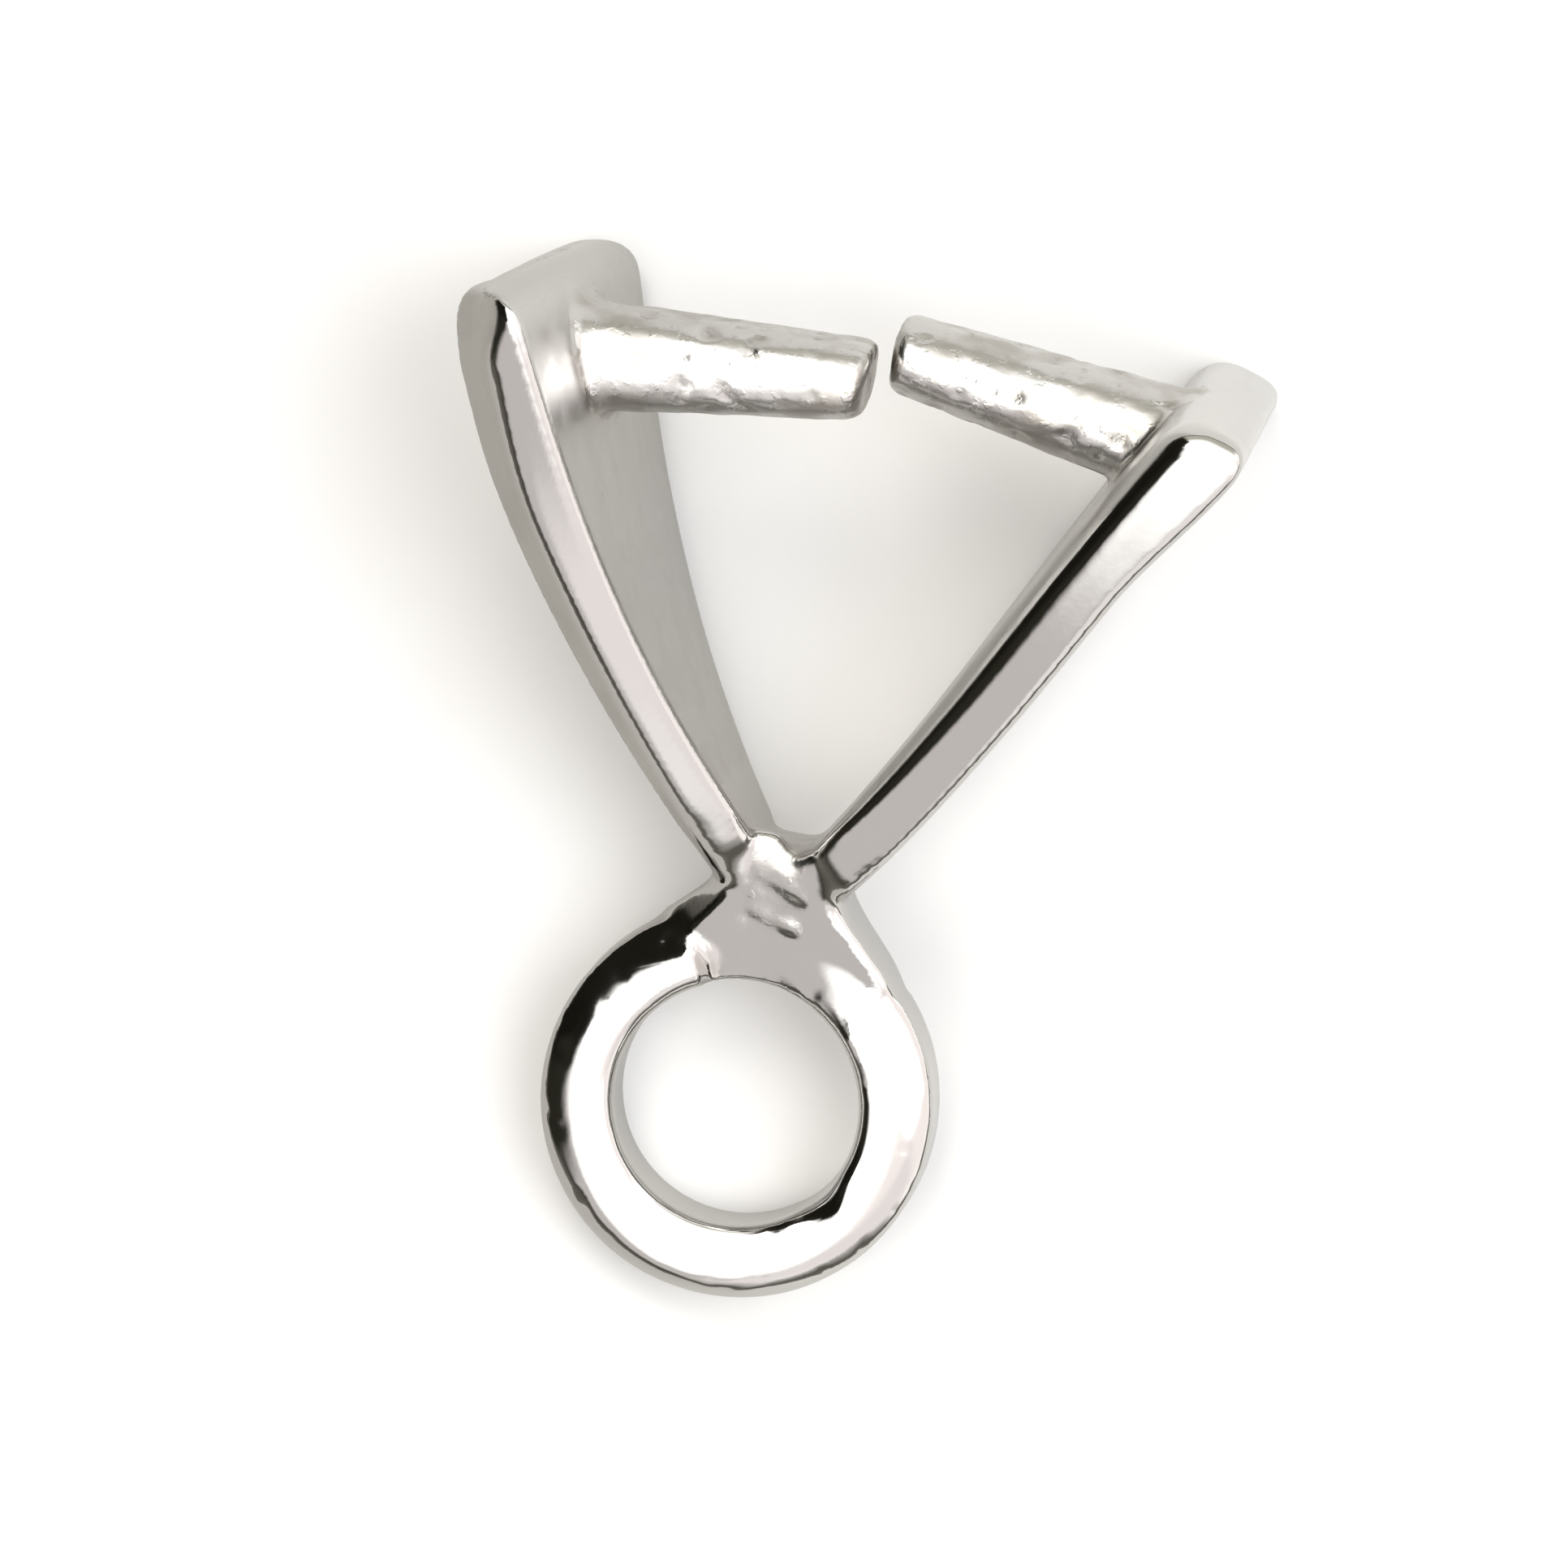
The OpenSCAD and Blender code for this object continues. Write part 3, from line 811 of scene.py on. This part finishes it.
def makeSilver(look):
    material = bpy.data.materials.new("castSilver")
    material.use_nodes = True
    tree = material.node_tree
    tree.nodes.clear()
    output = addNode(tree, "ShaderNodeOutputMaterial", (1300, 0))
    shader = addNode(tree, "ShaderNodeBsdfPrincipled", (1000, 0))
    shader.inputs["Metallic"].default_value = 1.0
    tree.links.new(shader.outputs["BSDF"], output.inputs["Surface"])

    # the hollow attribute carries tarnish in hollows and painted shade on the bevel and the peg tips
    hollow = addNode(tree, "ShaderNodeAttribute", (-900, 500), attribute_name="hollow")
    edge = addNode(tree, "ShaderNodeAttribute", (-900, 300), attribute_name="edge")
    skinMask = addNode(tree, "ShaderNodeAttribute", (-900, 100), attribute_name="castSkin")
    satinMask = addNode(tree, "ShaderNodeAttribute", (-300, -100), attribute_name="satin")
    patches = placeGroup(tree, softMottle, (-900, -100),
                         Size=0.6 * metresPerMm, Detail=4.0, Low=0.42, High=0.66)
    specks = placeGroup(tree, softMottle, (-900, -350),
                        Size=0.13 * metresPerMm, Detail=3.0, Low=0.56, High=0.68)
    where = addNode(tree, "ShaderNodeTexCoord", (-1200, -700))

    # colour: tarnish settles in hollows and a little in patches of the cast skin; the same darker tone is painted
    # shade on the first leg's bevel and the pegs' tip flanks
    patchShare = addNode(tree, "ShaderNodeMath", (-600, 100), operation="MULTIPLY")
    tree.links.new(patches.outputs["Mask"], patchShare.inputs[0])
    tree.links.new(skinMask.outputs["Fac"], patchShare.inputs[1])
    tarnishAndShadeMask = addNode(tree, "ShaderNodeMath", (-200, 300), operation="ADD", use_clamp=True)
    tree.links.new(hollow.outputs["Fac"], tarnishAndShadeMask.inputs[0])
    tree.links.new(patchShare.outputs[0], tarnishAndShadeMask.inputs[1])
    amount = addNode(tree, "ShaderNodeMath", (0, 300), operation="MULTIPLY")
    amount.inputs[1].default_value = look["tarnishAndShadeShare"]
    tree.links.new(tarnishAndShadeMask.outputs[0], amount.inputs[0])
    tone = addNode(tree, "ShaderNodeMix", (300, 300), data_type="RGBA")
    tone.inputs["A"].default_value = look["colour"]
    tone.inputs["B"].default_value = look["tarnishAndShadeTone"]
    tree.links.new(amount.outputs[0], tone.inputs["Factor"])
    tree.links.new(tone.outputs["Result"], shader.inputs["Base Color"])

    # roughness: polished, less so on the cast skin, brightest on rubbed edges
    gloss = addNode(tree, "ShaderNodeMapRange", (0, 0))
    gloss.inputs["To Min"].default_value = look["polished"]
    gloss.inputs["To Max"].default_value = look["castSkin"]
    tree.links.new(skinMask.outputs["Fac"], gloss.inputs["Value"])
    satin = addNode(tree, "ShaderNodeMath", (0, 150), operation="MULTIPLY")
    satin.inputs[1].default_value = look["satin"]
    tree.links.new(satinMask.outputs["Fac"], satin.inputs[0])
    duller = addNode(tree, "ShaderNodeMath", (150, 0), operation="MAXIMUM")
    tree.links.new(gloss.outputs["Result"], duller.inputs[0])
    tree.links.new(satin.outputs[0], duller.inputs[1])
    rubbed = addNode(tree, "ShaderNodeMapRange", (0, -250))
    rubbed.inputs["To Min"].default_value = 1.0
    rubbed.inputs["To Max"].default_value = 0.7
    tree.links.new(edge.outputs["Fac"], rubbed.inputs["Value"])
    glossier = addNode(tree, "ShaderNodeMath", (300, 0), operation="MULTIPLY")
    tree.links.new(duller.outputs[0], glossier.inputs[0])
    tree.links.new(rubbed.outputs["Result"], glossier.inputs[1])
    uneven = addNode(tree, "ShaderNodeMapRange", (300, -250))
    uneven.inputs["To Min"].default_value = 0.85
    uneven.inputs["To Max"].default_value = 1.25
    tree.links.new(patches.outputs["Mask"], uneven.inputs["Value"])
    finalGloss = addNode(tree, "ShaderNodeMath", (600, 0), operation="MULTIPLY")
    tree.links.new(glossier.outputs[0], finalGloss.inputs[0])
    tree.links.new(uneven.outputs["Result"], finalGloss.inputs[1])
    tree.links.new(finalGloss.outputs[0], shader.inputs["Roughness"])

    # grain of the cast skin, and a few pits everywhere
    grain = addNode(tree, "ShaderNodeTexNoise", (-900, -700))
    grain.inputs["Scale"].default_value = 1.0 / (look["grainSize"] * metresPerMm)
    grain.inputs["Detail"].default_value = 3.0
    tree.links.new(where.outputs["Object"], grain.inputs["Vector"])
    grainShare = addNode(tree, "ShaderNodeMapRange", (-600, -450))
    grainShare.inputs["To Min"].default_value = 0.12
    grainShare.inputs["To Max"].default_value = 1.0
    tree.links.new(skinMask.outputs["Fac"], grainShare.inputs["Value"])
    grainHeight = addNode(tree, "ShaderNodeMath", (-300, -600), operation="MULTIPLY")
    tree.links.new(grain.outputs["Fac"], grainHeight.inputs[0])
    tree.links.new(grainShare.outputs["Result"], grainHeight.inputs[1])
    grainBump = addNode(tree, "ShaderNodeBump", (0, -600))
    grainBump.inputs["Distance"].default_value = look["grainHeight"] * metresPerMm
    tree.links.new(grainHeight.outputs[0], grainBump.inputs["Height"])

    holes = addNode(tree, "ShaderNodeTexVoronoi", (-900, -1000))
    holes.inputs["Scale"].default_value = 1.0 / (look["pitSize"] * metresPerMm)
    tree.links.new(where.outputs["Object"], holes.inputs["Vector"])
    holeDepth = addNode(tree, "ShaderNodeMapRange", (-600, -1000), interpolation_type="SMOOTHSTEP")
    holeDepth.inputs["From Min"].default_value = 0.015
    holeDepth.inputs["From Max"].default_value = 0.06
    tree.links.new(holes.outputs["Distance"], holeDepth.inputs["Value"])
    pitBump = addNode(tree, "ShaderNodeBump", (300, -600))
    pitBump.inputs["Distance"].default_value = look["pitHeight"] * metresPerMm
    tree.links.new(holeDepth.outputs["Result"], pitBump.inputs["Height"])
    tree.links.new(grainBump.outputs["Normal"], pitBump.inputs["Normal"])
    speckBump = addNode(tree, "ShaderNodeBump", (600, -600))
    speckBump.inputs["Distance"].default_value = 0.003 * metresPerMm
    speckShare = addNode(tree, "ShaderNodeMath", (300, -800), operation="MULTIPLY")
    tree.links.new(specks.outputs["Mask"], speckShare.inputs[0])
    tree.links.new(skinMask.outputs["Fac"], speckShare.inputs[1])
    tree.links.new(speckShare.outputs[0], speckBump.inputs["Height"])
    tree.links.new(pitBump.outputs["Normal"], speckBump.inputs["Normal"])
    tree.links.new(speckBump.outputs["Normal"], shader.inputs["Normal"])
    return material


mesh.materials.append(makeSilver(silverLook))
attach(casting, "root")
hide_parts("bail")
print("silver finished")


# the table top
tableLook = {
    "half": 2.0,
    "colour": (0.93, 0.93, 0.92, 1.0),
    "shade": (0.91, 0.905, 0.895, 1.0),
    "roughness": 0.7,
    "reflectedShadeLeft": (0.56, 0.55, 0.53, 1.0),   # painted shade in reflections: for glossy rays the table's colour is multiplied by this, left and right of the bail
    "reflectedShadeRight": (0.82, 0.815, 0.805, 1.0),
    "reflectedShadeMiddle": -0.0008,
    "reflectedShadeSpread": 0.0035,
}


def makeTable(look):
    material = bpy.data.materials.new("paleCard")
    material.use_nodes = True
    tree = material.node_tree
    shader = tree.nodes["Principled BSDF"]
    shader.inputs["Roughness"].default_value = look["roughness"]
    shader.inputs["Specular IOR Level"].default_value = 0.2
    cloud = placeGroup(tree, softMottle, (-500, 100), Size=3.0 * metresPerMm, Detail=3.0, Low=0.3, High=0.7)
    tone = addNode(tree, "ShaderNodeMix", (-250, 200), data_type="RGBA")
    tone.inputs["A"].default_value = look["colour"]
    tone.inputs["B"].default_value = look["shade"]
    tree.links.new(cloud.outputs["Mask"], tone.inputs["Factor"])
    # painted shade seen only in the silver: glossy rays see the table darker, most on the bail's left
    dim = addNode(tree, "ShaderNodeMix", (-50, 350), data_type="RGBA", blend_type="MULTIPLY")
    where = addNode(tree, "ShaderNodeTexCoord", (-900, 700))
    square = addNode(tree, "ShaderNodeVectorRotate", (-700, 700), rotation_type="Z_AXIS")
    square.inputs["Angle"].default_value = -spin
    parts = addNode(tree, "ShaderNodeSeparateXYZ", (-550, 700))
    across = addNode(tree, "ShaderNodeMapRange", (-400, 700), interpolation_type="SMOOTHSTEP")
    across.inputs["From Min"].default_value = look["reflectedShadeMiddle"] - look["reflectedShadeSpread"]
    across.inputs["From Max"].default_value = look["reflectedShadeMiddle"] + look["reflectedShadeSpread"]
    share = addNode(tree, "ShaderNodeMix", (-200, 700), data_type="RGBA")
    share.inputs["A"].default_value = look["reflectedShadeLeft"]
    share.inputs["B"].default_value = look["reflectedShadeRight"]
    tree.links.new(where.outputs["Object"], square.inputs["Vector"])
    tree.links.new(square.outputs[0], parts.inputs[0])
    tree.links.new(parts.outputs["X"], across.inputs["Value"])
    tree.links.new(across.outputs["Result"], share.inputs["Factor"])
    tree.links.new(share.outputs["Result"], dim.inputs["B"])
    path = addNode(tree, "ShaderNodeLightPath", (-300, 500))
    tree.links.new(tone.outputs["Result"], dim.inputs["A"])
    tree.links.new(path.outputs["Is Glossy Ray"], dim.inputs["Factor"])
    tree.links.new(dim.outputs["Result"], shader.inputs["Base Color"])
    half = look["half"]
    mesh = bpy.data.meshes.new("tableTop")
    corners = [(-half, -half, 0), (half, -half, 0), (half, half, 0), (-half, half, 0)]
    mesh.from_pydata(corners, [], [(0, 1, 2, 3)])
    mesh.materials.append(material)
    table = bpy.data.objects.new("table_top", mesh)
    bpy.context.collection.objects.link(table)


# the camera: straight down on the group, so the bail is seen a little from its ring's side
cameraLook = {
    "turn": 11.2,          # how far the bail is turned clockwise in the picture, degrees
    "sideways": 0.32,      # mm from the bail's middle, in the picture's own directions
    "upwards": -6.69,
    "height": 157.2,
    "sensor": 36.0,
    "lens": 360.0,
}
spin = math.radians(cameraLook["turn"])
pictureRight = Vector((math.cos(spin), math.sin(spin), 0.0))
pictureUp = Vector((-math.sin(spin), math.cos(spin), 0.0))
boxMiddle = (cadBox[0] + cadBox[1]) / 2


def makeCamera(look):
    data = bpy.data.cameras.new("benchCamera")
    data.sensor_width = look["sensor"]
    data.lens = look["lens"]
    data.clip_start = 0.005
    camera = bpy.data.objects.new("bench_camera", data)
    bpy.context.collection.objects.link(camera)
    offset = pictureRight * look["sideways"] + pictureUp * look["upwards"] + Vector((0, 0, look["height"]))
    camera.location = boxMiddle + offset * metresPerMm
    back = (camera.location - boxMiddle).normalized()
    right = pictureUp.cross(back).normalized()
    turned = Matrix((right, back.cross(right), back)).transposed().to_4x4()
    camera.matrix_world = Matrix.Translation(camera.location) @ turned
    bpy.context.scene.camera = camera


makeCamera(cameraLook)
makeTable(tableLook)

# the light: a white tent with a few soft cards in it, and two lamps for the shadows.
# Azimuths count from the picture's right, counterclockwise, heights down from straight above.
studioLook = {
    "tent": (1.90, 1.885, 1.85, 1.0),
    "tableFill": (0.60, 0.595, 0.59, 1.0),
    "behind": (0.9, 0.9, 0.89, 1.0),
}


def card(azimuth, height, halfWidth, halfHeight, soft, tone):
    angles = {"Azimuth": azimuth, "Height": height,
              "Half Width": halfWidth, "Half Height": halfHeight, "Soft": soft}
    return {"angles": {name: math.radians(value) for name, value in angles.items()}, "tone": (*tone, 1.0)}


# a later card covers an earlier one
studioCards = {
    "blushCard": card(335, 52, 55, 24, 16, (1.50, 1.39, 1.36)),
    "lowGrey": card(262, 88, 46, 19, 14, (0.46, 0.44, 0.42)),
    "mauveCard": card(231, 61, 34, 16, 12, (0.82, 0.775, 0.765)),
    "paleCard": card(286, 56, 32, 11, 11, (1.25, 1.18, 1.17)),
    "backCard": card(92, 92, 42, 31, 16, (0.70, 0.68, 0.59)),
    "blackCard": card(172, 76, 27, 42, 9, (0.012, 0.011, 0.008)),
    "blackWing": card(139, 82, 27, 42, 9, (0.014, 0.013, 0.009)),
    "blackFoot": card(196, 80, 14, 28, 14, (0.03, 0.028, 0.02)),
    "lowDark": card(226, 85, 22, 12, 9, (0.05, 0.047, 0.035)),
    "horizon": card(285, 87, 78, 8, 8, (0.15, 0.14, 0.12)),
    "farEdge": card(0, 88, 190, 2.5, 4, (0.20, 0.19, 0.17)),
}


def softCardGroup():
    tree, inputs, outputs = newGroup("softCard", [
        ("Around", "NodeSocketFloat", 0.0),
        ("Down", "NodeSocketFloat", 0.0),
        ("Azimuth", "NodeSocketFloat", 0.0),
        ("Height", "NodeSocketFloat", 0.0),
        ("Half Width", "NodeSocketFloat", 0.5),
        ("Half Height", "NodeSocketFloat", 0.5),
        ("Soft", "NodeSocketFloat", 0.1),
    ], [("Mask", "NodeSocketFloat")])
    turn = addNode(tree, "ShaderNodeMath", (-300, 300), operation="SUBTRACT")
    tree.links.new(inputs.outputs["Around"], turn.inputs[0])
    tree.links.new(inputs.outputs["Azimuth"], turn.inputs[1])
    aside = addNode(tree, "ShaderNodeMath", (-100, 300), operation="WRAP")
    aside.inputs[1].default_value = math.pi
    aside.inputs[2].default_value = -math.pi
    tree.links.new(turn.outputs[0], aside.inputs[0])
    drop = addNode(tree, "ShaderNodeMath", (-100, 100), operation="SUBTRACT")
    tree.links.new(inputs.outputs["Down"], drop.inputs[0])
    tree.links.new(inputs.outputs["Height"], drop.inputs[1])
    edges = []
    for value, size, level in ((aside, "Half Width", 300), (drop, "Half Height", 100)):
        far = addNode(tree, "ShaderNodeMath", (200, level), operation="ABSOLUTE")
        tree.links.new(value.outputs[0], far.inputs[0])
        inside = addNode(tree, "ShaderNodeMath", (350, level), operation="SUBTRACT")
        tree.links.new(inputs.outputs[size], inside.inputs[0])
        tree.links.new(far.outputs[0], inside.inputs[1])
        share = addNode(tree, "ShaderNodeMath", (500, level), operation="DIVIDE")
        tree.links.new(inside.outputs[0], share.inputs[0])
        tree.links.new(inputs.outputs["Soft"], share.inputs[1])
        fade = addNode(tree, "ShaderNodeMapRange", (650, level), interpolation_type="SMOOTHSTEP")
        fade.inputs["From Min"].default_value = -0.5
        fade.inputs["From Max"].default_value = 0.5
        tree.links.new(share.outputs[0], fade.inputs["Value"])
        edges.append(fade)
    both = addNode(tree, "ShaderNodeMath", (800, 200), operation="MULTIPLY")
    tree.links.new(edges[0].outputs["Result"], both.inputs[0])
    tree.links.new(edges[1].outputs["Result"], both.inputs[1])
    tree.links.new(both.outputs[0], outputs.inputs["Mask"])
    return tree


def makeStudio(look, cards):
    world = bpy.data.worlds.new("softTent")
    world.use_nodes = True
    tree = world.node_tree
    tree.nodes.clear()
    softCard = softCardGroup()
    where = addNode(tree, "ShaderNodeTexCoord", (-1400, 0))
    square = addNode(tree, "ShaderNodeVectorRotate", (-1200, 0), rotation_type="Z_AXIS")
    square.inputs["Angle"].default_value = -spin
    tree.links.new(where.outputs["Generated"], square.inputs["Vector"])
    parts = addNode(tree, "ShaderNodeSeparateXYZ", (-1200, -200))
    tree.links.new(square.outputs[0], parts.inputs[0])
    around = addNode(tree, "ShaderNodeMath", (-1050, -100), operation="ARCTAN2")
    tree.links.new(parts.outputs["Y"], around.inputs[0])
    tree.links.new(parts.outputs["X"], around.inputs[1])
    down = addNode(tree, "ShaderNodeMath", (-1050, -300), operation="ARCCOSINE")
    tree.links.new(parts.outputs["Z"], down.inputs[0])
    tone, step = None, -900
    for name, shape in cards.items():
        mask = placeGroup(tree, softCard, (step, -200), **shape["angles"])
        mask.label = name
        tree.links.new(around.outputs[0], mask.inputs["Around"])
        tree.links.new(down.outputs[0], mask.inputs["Down"])
        layer = addNode(tree, "ShaderNodeMix", (step + 180, 100), data_type="RGBA")
        layer.inputs["A"].default_value = look["tent"]
        layer.inputs["B"].default_value = shape["tone"]
        if tone:
            tree.links.new(tone.outputs["Result"], layer.inputs["A"])
        tree.links.new(mask.outputs["Mask"], layer.inputs["Factor"])
        tone, step = layer, step + 250
    # shaders are mixed, not colours, so that rays which don't need the cards skip them
    path = addNode(tree, "ShaderNodeLightPath", (step, 400))
    seen = addNode(tree, "ShaderNodeBackground", (step, 100))
    tree.links.new(tone.outputs["Result"], seen.inputs["Color"])
    for name, ray in (("tableFill", "Is Diffuse Ray"), ("behind", "Is Camera Ray")):
        plain = addNode(tree, "ShaderNodeBackground", (step, -100))
        plain.inputs["Color"].default_value = look[name]
        step += 200
        choice = addNode(tree, "ShaderNodeMixShader", (step, 100))
        tree.links.new(path.outputs[ray], choice.inputs[0])
        tree.links.new(seen.outputs[0], choice.inputs[1])
        tree.links.new(plain.outputs[0], choice.inputs[2])
        seen = choice
    output = addNode(tree, "ShaderNodeOutputWorld", (step + 200, 100))
    tree.links.new(seen.outputs[0], output.inputs["Surface"])
    bpy.context.scene.world = world


makeStudio(studioLook, studioCards)

def lamp(azimuth, height, size, power, colour):
    return {"azimuth": azimuth, "height": height, "distance": 1.0, "size": size, "power": power, "colour": colour}


lampLook = {
    "keyLamp": lamp(-12, 30, 0.8, 5.1, (0.96, 0.98, 1.0)),
    "backLamp": lamp(112, 34, 0.5, 2.4, (1.0, 0.95, 0.88)),
    "frontLamp": lamp(216, 28, 0.4, 1.6, (1.0, 0.94, 0.86)),
}


def makeLamps(lamps):
    for name, row in lamps.items():
        data = bpy.data.lights.new(name, "AREA")
        data.shape = "DISK"
        data.size = row["size"]
        data.energy = row["power"]
        data.color = row["colour"]
        around, down = math.radians(row["azimuth"]), math.radians(row["height"])
        way = ((pictureRight * math.cos(around) + pictureUp * math.sin(around)) * math.sin(down)
               + Vector((0, 0, math.cos(down))))
        thing = bpy.data.objects.new(name, data)
        thing.location = boxMiddle + way * row["distance"]
        thing.rotation_euler = way.to_track_quat("Z", "Y").to_euler()
        bpy.context.collection.objects.link(thing)


makeLamps(lampLook)
bpy.context.scene.view_settings.view_transform = "Standard"
print("studio ready")
